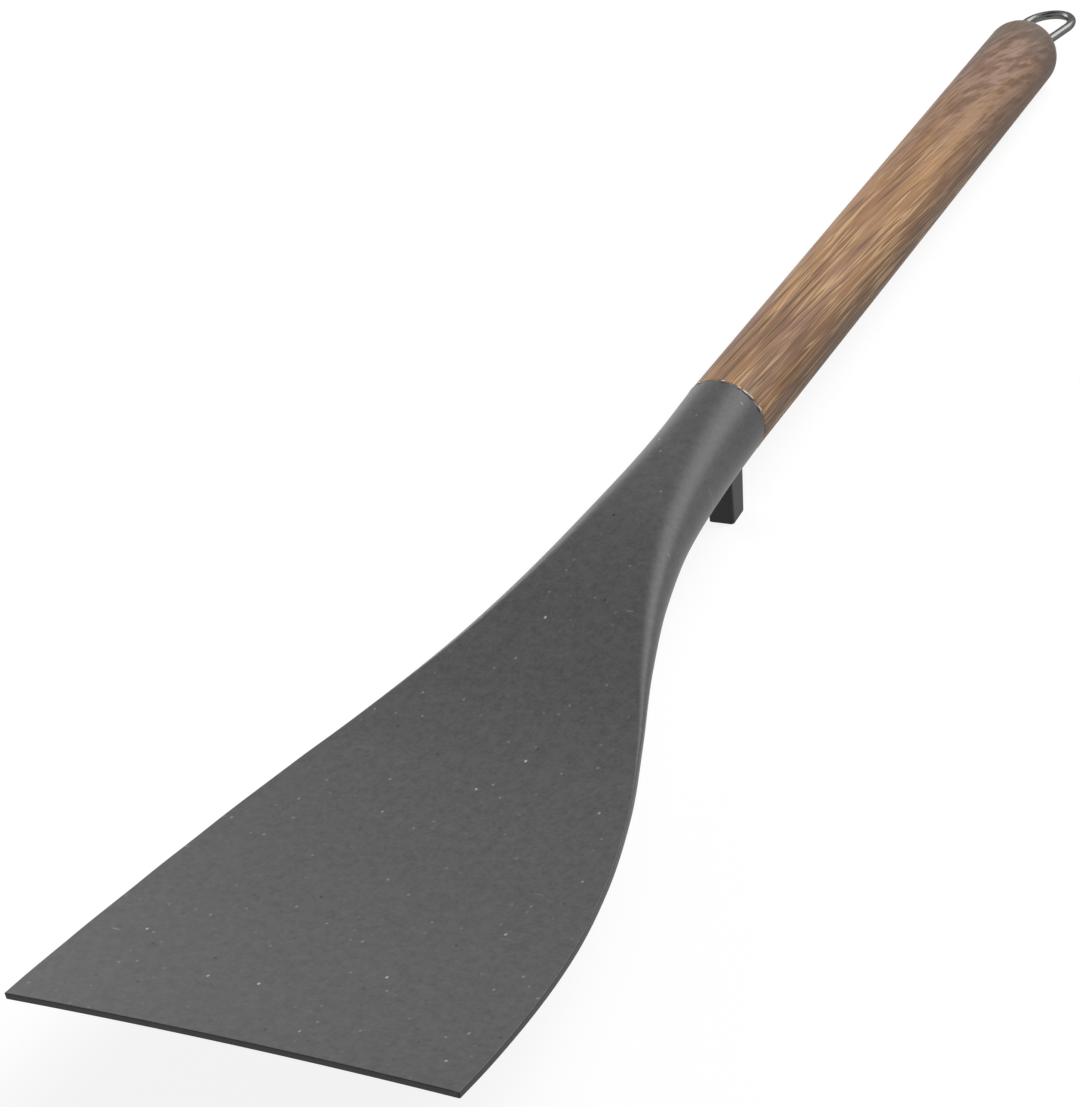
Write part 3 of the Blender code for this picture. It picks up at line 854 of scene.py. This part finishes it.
def handle_tree():
    """The turned handle: a round bar along its axis, whose radius follows a rule."""
    tree, given = new_tree("Turned Handle", {
        "Handle Length": "Float", "Collar Radius": "Float", "Tail Radius": "Float",
        "Face Radius": "Float", "Rounding": "Float", "Fullness": "Float", "Seam": "Float",
        "Chamfer": "Float", "Sides": "Int", "Material": "Material",
    })
    place = add_node(tree, "GeometryNodeInputPosition")
    along = parts_of(tree, place.outputs["Position"])["Y"]
    bend_start = maths(tree, "SUBTRACT", given["Handle Length"], given["Rounding"])
    lip_end = maths(tree, "ADD", given["Seam"], given["Chamfer"])
    taper = ramp(tree, along, lip_end, bend_start, given["Collar Radius"], given["Tail Radius"])
    round_off = ramp(tree, along, bend_start, given["Handle Length"])
    left_over = maths(tree, "SUBTRACT", 1.0, maths(tree, "POWER", round_off, given["Fullness"]))
    root = maths(tree, "POWER", left_over, maths(tree, "DIVIDE", 1.0, given["Fullness"]))
    step = maths(tree, "SUBTRACT", given["Tail Radius"], given["Face Radius"])
    loss = product(tree, maths(tree, "SUBTRACT", 1.0, root), step)
    outside = maths(tree, "SUBTRACT", taper, loss)
    lip_radius = maths(tree, "SUBTRACT", given["Collar Radius"], given["Chamfer"])
    lip = maths(tree, "ADD", lip_radius, maths(tree, "SUBTRACT", along, given["Seam"]))
    radius = maths(tree, "MINIMUM", outside, lip)
    path = add_node(tree, "GeometryNodeMeshToCurve", {"Mesh": given["Geometry"]}).outputs["Curve"]
    return finish_tree(tree, swept(tree, path, 1.0, given["Sides"], radius), given["Material"])


def wire_tree():
    """A bent wire: a round section swept along a path, with closed ends."""
    tree, given = new_tree("Bent Wire", {"Wire Radius": "Float", "Sides": "Int", "Material": "Material"})
    path = add_node(tree, "GeometryNodeMeshToCurve", {"Mesh": given["Geometry"]}).outputs["Curve"]
    return finish_tree(tree, swept(tree, path, given["Wire Radius"], given["Sides"]), given["Material"])


def seam_tree():
    """The seam's line of adhesive, uneven in thickness, with flecks on the source's points."""
    tree, given = new_tree("Seam Adhesive", {
        "Ring Radius": "Float", "Bead Radius": "Float", "Unevenness": "Float", "Fleck Size": "Float",
        "Middle": "Vector", "Seed": "Int", "Material": "Material",
    })
    circle = add_node(tree, "GeometryNodeCurvePrimitiveCircle", {
        "Radius": given["Ring Radius"], "Resolution": RING_POINTS,
    })
    lay = add_node(tree, "GeometryNodeTransform", {
        "Geometry": circle.outputs["Curve"], "Translation": given["Middle"],
        "Rotation": (math.pi / 2, 0.0, 0.0),
    })
    rough = add_node(tree, "ShaderNodeTexNoise", {"Scale": 900.0, "Detail": 2.0}).outputs
    centred = vector_maths(tree, "SUBTRACT", {0: rough["Color"], 1: (0.5, 0.5, 0.5)})
    wander = vector_maths(tree, "SCALE", {0: centred["Vector"], "Scale": given["Unevenness"]})
    shift = add_node(tree, "GeometryNodeSetPosition", {
        "Geometry": lay.outputs["Geometry"], "Offset": wander["Vector"],
    })
    swell = ramp(tree, rough["Fac"], 0.3, 0.7, 0.45)
    bead = swept(tree, shift.outputs["Geometry"], given["Bead Radius"], BEAD_SIDES, swell, False)
    fleck = add_node(tree, "GeometryNodeMeshIcoSphere", {
        "Radius": given["Fleck Size"], "Subdivisions": 2,
    })
    stretch = add_node(tree, "FunctionNodeRandomValue", {
        "Min": FLECK_LEAST, "Max": FLECK_MOST, "Seed": given["Seed"],
    }, data_type="FLOAT_VECTOR")
    where = parts_of(tree, add_node(tree, "GeometryNodeInputPosition").outputs["Position"])
    turn = add_node(tree, "ShaderNodeCombineXYZ", {"Y": maths(tree, "ARCTAN2", where["X"], where["Z"])})
    scatter = add_node(tree, "GeometryNodeInstanceOnPoints", {
        "Points": given["Geometry"], "Instance": fleck.outputs["Mesh"],
        "Scale": stretch.outputs["Value"], "Rotation": turn.outputs["Vector"],
    })
    join = add_node(tree, "GeometryNodeJoinGeometry", {"Geometry": bead})
    tree.links.new(scatter.outputs["Instances"], join.inputs["Geometry"])
    return finish_tree(tree, join.outputs["Geometry"], given["Material"])


def new_material(name):
    """A material with an empty node tree."""
    material = bpy.data.materials.new(name)
    material.use_nodes = True
    material.node_tree.nodes.clear()
    return material, material.node_tree


def finish_material(tree, values):
    """End a material in its Principled shader and output."""
    shader = add_node(tree, "ShaderNodeBsdfPrincipled", values)
    add_node(tree, "ShaderNodeOutputMaterial", {"Surface": shader.outputs["BSDF"]})


def own_frame(tree):
    """Object coordinates turned back into the spatula's own frame, so that +Y runs along the handle."""
    back = rest_matrix().inverted()
    return add_node(tree, "ShaderNodeMapping", {
        "Vector": add_node(tree, "ShaderNodeTexCoord").outputs["Object"],
        "Location": back.translation, "Rotation": back.to_euler(),
    }).outputs["Vector"]


def stretched(tree, vector, scale, turn=0.0):
    """A position scaled along each axis after a turn about Z in degrees."""
    return add_node(tree, "ShaderNodeMapping", {
        "Vector": vector, "Rotation": (0.0, 0.0, math.radians(turn)), "Scale": scale,
    }).outputs["Vector"]


def noise(tree, vector, scale, detail, roughness=0.5):
    """Soft noise at a scale per metre."""
    return add_node(tree, "ShaderNodeTexNoise", {
        "Vector": vector, "Scale": scale, "Detail": detail, "Roughness": roughness,
    }).outputs["Fac"]


def toned(tint, share):
    """A colour made darker or paler by a share."""
    return tuple(value * share for value in tint)


def mix_colour(tree, amount, first, second):
    """A colour mix whose amount is a link and whose colours are links or colours."""
    values = {0: amount}
    for key, value in ((6, first), (7, second)):
        values[key] = value if isinstance(value, NodeSocket) else (*value, 1.0)
    return add_node(tree, "ShaderNodeMix", values, data_type="RGBA").outputs[2]


def bump(tree, height, strength, distance):
    """A normal from a height, with the height of a full step in metres."""
    return add_node(tree, "ShaderNodeBump", {
        "Height": height, "Strength": strength, "Distance": distance,
    }).outputs["Normal"]


def shader_group(name, inputs, outputs):
    """A shader node group with a vector and named numbers as inputs, and the links that they give."""
    group = bpy.data.node_groups.new(name, "ShaderNodeTree")
    group.interface.new_socket("Vector", in_out="INPUT", socket_type="NodeSocketVector")
    for label, value in inputs.items():
        socket = group.interface.new_socket(label, in_out="INPUT", socket_type="NodeSocketFloat")
        socket.default_value = value
    for label in outputs:
        group.interface.new_socket(label, in_out="OUTPUT", socket_type="NodeSocketFloat")
    return group, add_node(group, "NodeGroupInput").outputs


def grain_group():
    """Fine surface grain: a height for bump and a mask for colour and roughness."""
    if "Fine Grain" in bpy.data.node_groups:
        return bpy.data.node_groups["Fine Grain"]
    inputs = {"Scale": 1500.0, "Coarse Scale": 60.0, "Coarse Share": 0.3}
    group, given = shader_group("Fine Grain", inputs, ("Height", "Mask"))
    fine = noise(group, given["Vector"], given["Scale"], 3.0, 0.6)
    coarse = noise(group, given["Vector"], given["Coarse Scale"], 2.0)
    mix = add_node(group, "ShaderNodeMix", {"Factor": given["Coarse Share"], "A": fine, "B": coarse})
    add_node(group, "NodeGroupOutput", {"Height": fine, "Mask": mix.outputs["Result"]})
    return group


def speck_group():
    """Scattered dust specks seen from above: a mask of small soft spots of different strengths."""
    if "Dust Specks" in bpy.data.node_groups:
        return bpy.data.node_groups["Dust Specks"]
    inputs = {"Spacing": 150.0, "Size": 0.03, "Amount": 0.2}
    group, given = shader_group("Dust Specks", inputs, ("Mask",))
    cells = add_node(group, "ShaderNodeTexVoronoi", {
        "Vector": given["Vector"], "Scale": given["Spacing"],
    }, voronoi_dimensions="2D").outputs
    split = add_node(group, "ShaderNodeSeparateColor", {"Color": cells["Color"]}).outputs
    spot = ramp(group, maths(group, "DIVIDE", cells["Distance"], given["Size"]), 0.45, 1.0, 1.0, 0.0)
    chosen = maths(group, "LESS_THAN", split["Red"], given["Amount"])
    strength = maths(group, "POWER", split["Green"], FAINT_SPECKS)
    add_node(group, "NodeGroupOutput", {"Mask": product(group, spot, chosen, strength)})
    return group


def grain(tree, vector, scale, coarse_scale, coarse_share):
    """The fine grain group placed in a material with its own values."""
    return add_node(tree, "ShaderNodeGroup", {
        "Vector": vector, "Scale": scale, "Coarse Scale": coarse_scale, "Coarse Share": coarse_share,
    }, node_tree=grain_group()).outputs


def specks(tree, vector, spacing, size, amount):
    """The dust speck group placed in a material with its own values."""
    return add_node(tree, "ShaderNodeGroup", {
        "Vector": vector, "Spacing": spacing, "Size": size, "Amount": amount,
    }, node_tree=speck_group()).outputs["Mask"]


def nylon_material():
    """Matt moulded nylon with a fine grain and a little dust, and painted shade on the front edge face, the
    blade's sides and the foot.
    """
    if "Moulded nylon" in bpy.data.materials:
        return bpy.data.materials["Moulded nylon"]
    finish = settings("finish")
    material, tree = new_material("Moulded nylon")
    vector = own_frame(tree)
    place = parts_of(tree, vector)
    normal = parts_of(tree, add_node(tree, "ShaderNodeTexCoord").outputs["Normal"])
    masks = masks_from(tree, {
        "facing_up": normal["Z"], "Y": place["Y"], "Z": place["Z"], "wear": noise(tree, vector, 210.0, 3.0),
    }, NYLON_MASKS)
    fine = grain(tree, vector, *NYLON_GRAIN)
    mottled = ramp(tree, fine["Mask"], 0.3, 0.7)
    tint = mix_colour(tree, mottled, toned(finish.nylon, 0.70), toned(finish.nylon, 1.30))
    # Painted shade on the front edge face, broken by worn patches
    edge = product(tree, front_edge_shade_mask(tree, place), masks["unworn"])
    # Painted shade on the blade's sides and underside, and on the foot under the collar
    rim_shade = product(tree, masks["turned_down"], masks["blade"])
    for shade in (edge, maths(tree, "MAXIMUM", rim_shade, masks["foot"])):
        tint = mix_colour(tree, shade, tint, finish.nylon_edge)
    lie = {
        "plain": vector,
        "across": stretched(tree, vector, (0.22, 1.0, 1.0), 25),
        "upended": stretched(tree, vector, (1.0, 0.8, 1.0)),
    }
    for way, spacing, size, amount, strength, tone in SPECK_LAYERS:
        seen = product(tree, specks(tree, lie[way], spacing, size, amount), strength)
        tint = mix_colour(tree, seen, tint, getattr(finish, tone))
    finish_material(tree, {
        "Base Color": tint, "Roughness": ramp(tree, fine["Mask"], 0.2, 0.8, *NYLON_ROUGHNESS),
        "Specular IOR Level": 0.33, "Normal": bump(tree, fine["Height"], 0.25, 0.03 * MM),
    })
    return material


def front_edge_shade_mask(tree, place):
    """1 on the blade's front edge face, where painted shade darkens the nylon."""
    head = settings("head")
    bow = head.front_hollow / (head.blade_width / 2) ** 2
    lead = product(tree, place["X"], place["X"], bow)
    behind = [depth - head.head_length for depth in EDGE_FACE]
    return ramp(tree, maths(tree, "ADD", place["Y"], lead), *behind, 1.0, 0.0)


def twisted(tree, vector, lean, drift, gain):
    """A position turned round the handle's axis along the way, so that the grain leans and drifts.

    The lean is in degrees, and the gain is how many degrees more it leans at the tail than at the seam.
    """
    handle = settings("handle")
    rate = math.tan(math.radians(lean)) / handle.collar_radius
    tail_rate = math.tan(math.radians(lean + gain)) / handle.collar_radius
    growth = (tail_rate - rate) / (2 * handle.handle_length)
    along = parts_of(tree, vector)["Y"]
    spiral = product(tree, along, maths(tree, "ADD", product(tree, along, growth), rate))
    slow = maths(tree, "SUBTRACT", noise(tree, vector, 11.0, 1.0), 0.5)
    turn = maths(tree, "ADD", spiral, product(tree, slow, 2 * drift))
    return add_node(tree, "ShaderNodeVectorRotate", {
        "Vector": vector, "Angle": turn,
    }, rotation_type="Y_AXIS").outputs["Vector"]


def wood_material():
    """Oiled hardwood with long fine lines, warm and reddish patches and a wavy figure near the tail, with a
    painted highlight band along its upper right side and painted shade along its lower side and at the
    tail's end.
    """
    if "Streaked hardwood" in bpy.data.materials:
        return bpy.data.materials["Streaked hardwood"]
    finish = settings("finish")
    material, tree = new_material("Streaked hardwood")
    vector = own_frame(tree)
    place = parts_of(tree, vector)
    leans = {name: twisted(tree, vector, *values) for name, values in GRAIN_LEANS.items()}
    grown = {}
    for name, (lean, draw, scale, detail) in GRAIN_PATTERNS.items():
        grown[name] = noise(tree, stretched(tree, leans[lean], (1.0, draw, 1.0)), scale, detail)
    masks = masks_from(tree, {
        **grown, "X": place["X"], "Y": place["Y"], "Z": place["Z"],
        "off_vein": distance_from(tree, grown["veins"], VEIN_MIDDLE),
        "off_band": distance_from(tree, place["X"], BAND_MIDDLE),
    }, WOOD_MASKS)
    vein = product(tree, masks["vein"], masks["vein_patches"])
    lines = maths(tree, "MAXIMUM", masks["bright"], masks["thin"])
    strokes = maths(tree, "MAXIMUM", vein, product(tree, lines, masks["gathered"]))
    masks["pale"] = product(tree, strokes, masks["lined"])
    masks["deep"] = product(tree, masks["hair"], masks["lined"])
    tint = mix_colour(tree, masks["streak"], finish.wood_dark, finish.wood_mid)
    for names, tone in WOOD_LAYERS:
        mask = product(tree, *[masks[name] for name in names])
        tint = mix_colour(tree, mask, tint, getattr(finish, tone))
    ridges = maths(tree, "ADD", product(tree, grown["flames"], masks["figure"]), masks["pale"])
    relief = maths(tree, "SUBTRACT", ridges, masks["deep"])
    fine = grain(tree, vector, *WOOD_GRAIN)
    finish_material(tree, {
        "Base Color": tint, "Roughness": ramp(tree, fine["Mask"], 0.3, 0.7, *WOOD_ROUGHNESS),
        "Specular IOR Level": 0.28, "Normal": bump(tree, relief, 0.35, 0.06 * MM),
    })
    return material


def steel_material():
    """Polished steel wire with faint drawing marks."""
    if "Polished steel" in bpy.data.materials:
        return bpy.data.materials["Polished steel"]
    finish = settings("finish")
    material, tree = new_material("Polished steel")
    fine = grain(tree, own_frame(tree), *STEEL_GRAIN)
    marks = ramp(tree, fine["Mask"], 0.3, 0.7)
    finish_material(tree, {
        "Base Color": mix_colour(tree, marks, toned(finish.steel, 0.9), finish.steel),
        "Roughness": ramp(tree, fine["Mask"], 0.2, 0.8, *STEEL_ROUGHNESS), "Metallic": 1.0,
        "Specular Tint": (*finish.steel_edge, 1.0), "Normal": bump(tree, fine["Height"], 0.1, 0.01 * MM),
    })
    return material


def adhesive_material():
    """Cured adhesive, whitish with pink and tan patches, and painted shade where it lies deep in the seam.
    """
    if "Cured adhesive" in bpy.data.materials:
        return bpy.data.materials["Cured adhesive"]
    finish = settings("finish")
    material, tree = new_material("Cured adhesive")
    vector = own_frame(tree)
    fine = grain(tree, vector, *ADHESIVE_GRAIN)
    flat = vector_maths(tree, "MULTIPLY", {0: vector, 1: (1.0, 0.0, 1.0)})
    off_axis = vector_maths(tree, "LENGTH", {0: flat["Vector"]})
    # painted shade: adhesive sunk into the seam between collar and wood turns darker, and adhesive standing
    # proud paler
    seam_depth_shade = ramp(tree, off_axis["Value"], *PROUD_ADHESIVE, -0.25, 0.7)
    patches_and_shade = maths(tree, "ADD", ramp(tree, fine["Mask"], 0.42, 0.62), seam_depth_shade)
    # dark colour for both the patches and the painted shade in the seam
    dark = tuple(value * part for value, part in zip(finish.adhesive, ADHESIVE_DARKENING))
    finish_material(tree, {
        "Base Color": mix_colour(tree, ramp(tree, patches_and_shade, 0.0, 1.0), dark, finish.adhesive),
        "Roughness": ramp(tree, fine["Mask"], 0.2, 0.8, *ADHESIVE_ROUGHNESS),
        "Normal": bump(tree, fine["Height"], 0.4, 0.05 * MM),
    })
    return material


class SPATULA_OT_head(Operator):
    """Build the moulded head with its cored neck, collar, foot and tang"""

    bl_idname = "spatula.head"
    bl_label = "Build Head"

    def execute(self, context):
        head = lofted("head_form", head_rings(), first_cap=False)
        shapes = [(lofted("core_cutter", core_rings(side)), "DIFFERENCE") for side in (1, -1)]
        shapes.append((lofted("foot_form", foot_rings()), "UNION"))
        shaded = working_object("moulded_head", combined_mesh(head, shapes, "moulded_head"))
        shaded.modifiers.new("Weighted Normals", "WEIGHTED_NORMAL").keep_sharp = True
        mesh = finished_mesh(shaded, "moulded_head")
        place_piece(mesh, "moulded_head", nylon_material(), ("nylon_head",))
        return {"FINISHED"}


class SPATULA_OT_handle(Operator):
    """Build the turned wooden handle with its bore and its two leg holes"""

    bl_idname = "spatula.handle"
    bl_label = "Build Handle"

    def execute(self, context):
        handle = settings("handle")
        loop = settings("loop")
        axis = line_mesh("handle_axis", [(0, distance, 0) for distance in bar_distances()])
        mesh = run_tree("turned_handle", axis, handle_tree(), handle, {"Material": wood_material()})
        working = bmesh.new()
        working.from_mesh(mesh)
        close_up(working)
        bar = working_object("handle_form", mesh_from(working, "handle_form"))
        bore = hole_rings(handle.bore_radius, -CUT_OVERRUN, handle.bore_depth, BORE_SIDES)
        shapes = [(lofted("bore_cutter", bore), "DIFFERENCE")]
        radius = loop.wire_diameter / 2 + loop.hole_gap
        start = handle.handle_length - loop.hole_depth
        end = handle.handle_length + CUT_OVERRUN
        for side in (1, -1):
            hole = hole_rings(radius, start, end, LEG_HOLE_SIDES, side * loop.leg_offset)
            shapes.append((lofted("leg_cutter", hole), "DIFFERENCE"))
        mesh = combined_mesh(bar, shapes, "turned_handle")
        place_piece(mesh, "turned_handle", wood_material(), ("wood_handle",))
        return {"FINISHED"}


class SPATULA_OT_loop(Operator):
    """Build the bent wire loop"""

    bl_idname = "spatula.loop"
    bl_label = "Build Loop"

    def execute(self, context):
        loop = settings("loop")
        half = right_half_of_loop()
        path = half + [(-x, y) for x, y in reversed(half[:-1])]
        askew = Matrix.Translation((0.0, settings("handle").handle_length, 0.0))
        askew = askew @ Matrix.Rotation(-loop.nod, 4, "X") @ Matrix.Rotation(-loop.roll, 4, "Y")
        line = line_mesh("wire_path", [askew @ Vector((x, y, 0.0)) for x, y in path])
        mesh = run_tree("wire_loop", line, wire_tree(), loop, {
            "Wire Radius": loop.wire_diameter / 2, "Material": steel_material(),
        })
        mesh.shade_smooth()
        mesh.set_sharp_from_angle(angle=SHARP_ANGLE)
        place_piece(mesh, "wire_loop", steel_material(), ("hanging_loop",))
        return {"FINISHED"}


class SPATULA_OT_adhesive(Operator):
    """Build the adhesive in the seam, and finish the adhesive inside the handle"""

    bl_idname = "spatula.adhesive"
    bl_label = "Build Adhesive"

    def execute(self, context):
        seam = settings("seam")
        gap = settings("handle").seam
        radius = seam.fleck_radius
        turns = [math.radians(degrees) for degrees in FLECK_DEGREES]
        points = [(radius * math.sin(turn), gap / 2, radius * math.cos(turn)) for turn in turns]
        mesh = run_tree("seam_adhesive", line_mesh("fleck_places", points), seam_tree(), seam, {
            "Middle": (0.0, gap / 2, 0.0), "Material": adhesive_material(),
        })
        mesh.shade_smooth()
        place_piece(mesh, "seam_adhesive", adhesive_material())
        for name in ("tang_adhesive", "loop_adhesive_right", "loop_adhesive_left"):
            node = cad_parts[name]
            node.data.materials.clear()
            node.data.materials.append(adhesive_material())
        return {"FINISHED"}


class SPATULA_OT_stage(Operator):
    """Build the floor, the lights, the background and the camera"""

    bl_idname = "spatula.stage"
    bl_label = "Build Stage"

    def execute(self, context):
        stage = settings("stage")
        working = bmesh.new()
        bmesh.ops.create_circle(working, cap_ends=True, segments=FLOOR_SIDES, radius=stage.floor_radius)
        floor = working_object("floor", mesh_from(working, "floor"))
        floor.data.materials.append(floor_material())
        build_world()
        for name, heading, height, size in LAMPS:
            add_lamp(name + "_lamp", heading, height, size, getattr(stage, name + "_power"))
        camera = bpy.data.objects.new("camera", bpy.data.cameras.new("camera"))
        context.scene.collection.objects.link(camera)
        look = Vector(stage.camera_look).normalized()
        up = Vector(stage.camera_up)
        up = (up - up.dot(look) * look).normalized()
        turn = Matrix((look.cross(up), up, -look)).transposed()
        camera.matrix_world = Matrix.Translation(stage.camera_place) @ turn.to_4x4()
        camera.data.lens = stage.lens
        camera.data.sensor_width = 36.0
        camera.data.clip_start = 10 * MM
        context.scene.camera = camera
        context.scene.view_settings.view_transform = "Standard"
        return {"FINISHED"}


def add_lamp(name, heading, height, size, watts):
    """A soft square lamp aimed at the middle, from a heading and a height in degrees."""
    turn = math.radians(heading)
    rise = math.radians(height)
    data = bpy.data.lights.new(name, "AREA")
    data.shape = "SQUARE"
    data.size = size
    data.energy = watts
    lamp = bpy.data.objects.new(name, data)
    bpy.context.scene.collection.objects.link(lamp)
    way = Vector((math.cos(rise) * math.sin(turn), math.cos(rise) * math.cos(turn), math.sin(rise)))
    lamp.location = way * LAMP_DISTANCE
    lamp.rotation_euler = (-way).to_track_quat("-Z", "Y").to_euler()


def shown_directly(tree, soft, shown):
    """A shader for rays that carry soft light, and another for camera, glossy and transmission rays."""
    path = add_node(tree, "ShaderNodeLightPath").outputs
    shiny = maths(tree, "MAXIMUM", path["Is Glossy Ray"], path["Is Transmission Ray"])
    direct = maths(tree, "MAXIMUM", path["Is Camera Ray"], shiny)
    return add_node(tree, "ShaderNodeMixShader", {"Fac": direct, 1: soft, 2: shown}).outputs["Shader"]


def floor_material():
    """A plain floor that shows white with soft shadows, and lights the object as a grey one."""
    stage = settings("stage")
    material, tree = new_material("Pale floor")
    grey = add_node(tree, "ShaderNodeBsdfDiffuse", {"Color": (*stage.floor_colour, 1.0)})
    pale = add_node(tree, "ShaderNodeBsdfDiffuse", {"Color": (*stage.floor_shadow, 1.0)})
    place = add_node(tree, "ShaderNodeTexCoord").outputs["Object"]
    away = vector_maths(tree, "LENGTH", {0: place})["Value"]
    fade = ramp(tree, away, *FLOOR_FADE, stage.floor_glow, 1.0)
    glow = add_node(tree, "ShaderNodeEmission", {"Strength": fade})
    shown = add_node(tree, "ShaderNodeAddShader", {0: pale.outputs["BSDF"], 1: glow.outputs["Emission"]})
    surface = shown_directly(tree, grey.outputs["BSDF"], shown.outputs["Shader"])
    add_node(tree, "ShaderNodeOutputMaterial", {"Surface": surface})
    return material


def build_world():
    """A studio that shows white round the horizon under a dark ceiling, and lights the object softly."""
    stage = settings("stage")
    world = bpy.data.worlds.new("Studio")
    world.use_nodes = True
    tree = world.node_tree
    tree.nodes.clear()
    height = parts_of(tree, add_node(tree, "ShaderNodeTexCoord").outputs["Generated"])["Z"]
    rises = [math.sin(rise) for rise in CEILING_STARTS]
    shade = ramp(tree, height, *rises, 1.0, stage.ceiling)
    white = (1.0, 1.0, 1.0, 1.0)
    soft = add_node(tree, "ShaderNodeBackground", {"Color": white, "Strength": stage.ambient})
    shown = add_node(tree, "ShaderNodeBackground", {"Color": shade, "Strength": 1.0})
    surface = shown_directly(tree, soft.outputs["Background"], shown.outputs["Background"])
    add_node(tree, "ShaderNodeOutputWorld", {"Surface": surface})
    bpy.context.scene.world = world


class SPATULA_PT_build(Panel):
    """Lists the spatula's pieces and its stage"""

    bl_idname = "SPATULA_PT_build"
    bl_label = "Kitchen Spatula"
    bl_space_type = "VIEW_3D"
    bl_region_type = "UI"
    bl_category = "Spatula"

    def draw(self, context):
        for operator in OPERATORS:
            self.layout.operator(operator.bl_idname)


OPERATORS = (
    SPATULA_OT_head,
    SPATULA_OT_handle,
    SPATULA_OT_loop,
    SPATULA_OT_adhesive,
    SPATULA_OT_stage,
)
SETTINGS = {
    "rest": RestSettings,
    "head": HeadSettings,
    "foot": FootSettings,
    "handle": HandleSettings,
    "loop": LoopSettings,
    "seam": SeamSettings,
    "finish": FinishSettings,
    "stage": StageSettings,
}


def register():
    """Register the settings, the operators and the panel."""
    for name, group in SETTINGS.items():
        bpy.utils.register_class(group)
        setattr(bpy.types.Scene, PREFIX + name, PointerProperty(type=group))
    for operator in OPERATORS:
        bpy.utils.register_class(operator)
    bpy.utils.register_class(SPATULA_PT_build)


def unregister():
    """Take the panel, the operators and the settings out again."""
    bpy.utils.unregister_class(SPATULA_PT_build)
    for operator in reversed(OPERATORS):
        bpy.utils.unregister_class(operator)
    for name, group in reversed(SETTINGS.items()):
        delattr(bpy.types.Scene, PREFIX + name)
        bpy.utils.unregister_class(group)


def main():
    """Build every piece and the stage."""
    register()
    bpy.ops.spatula.head()
    bpy.ops.spatula.handle()
    bpy.ops.spatula.loop()
    bpy.ops.spatula.adhesive()
    bpy.ops.spatula.stage()


if __name__ == "__main__":
    main()
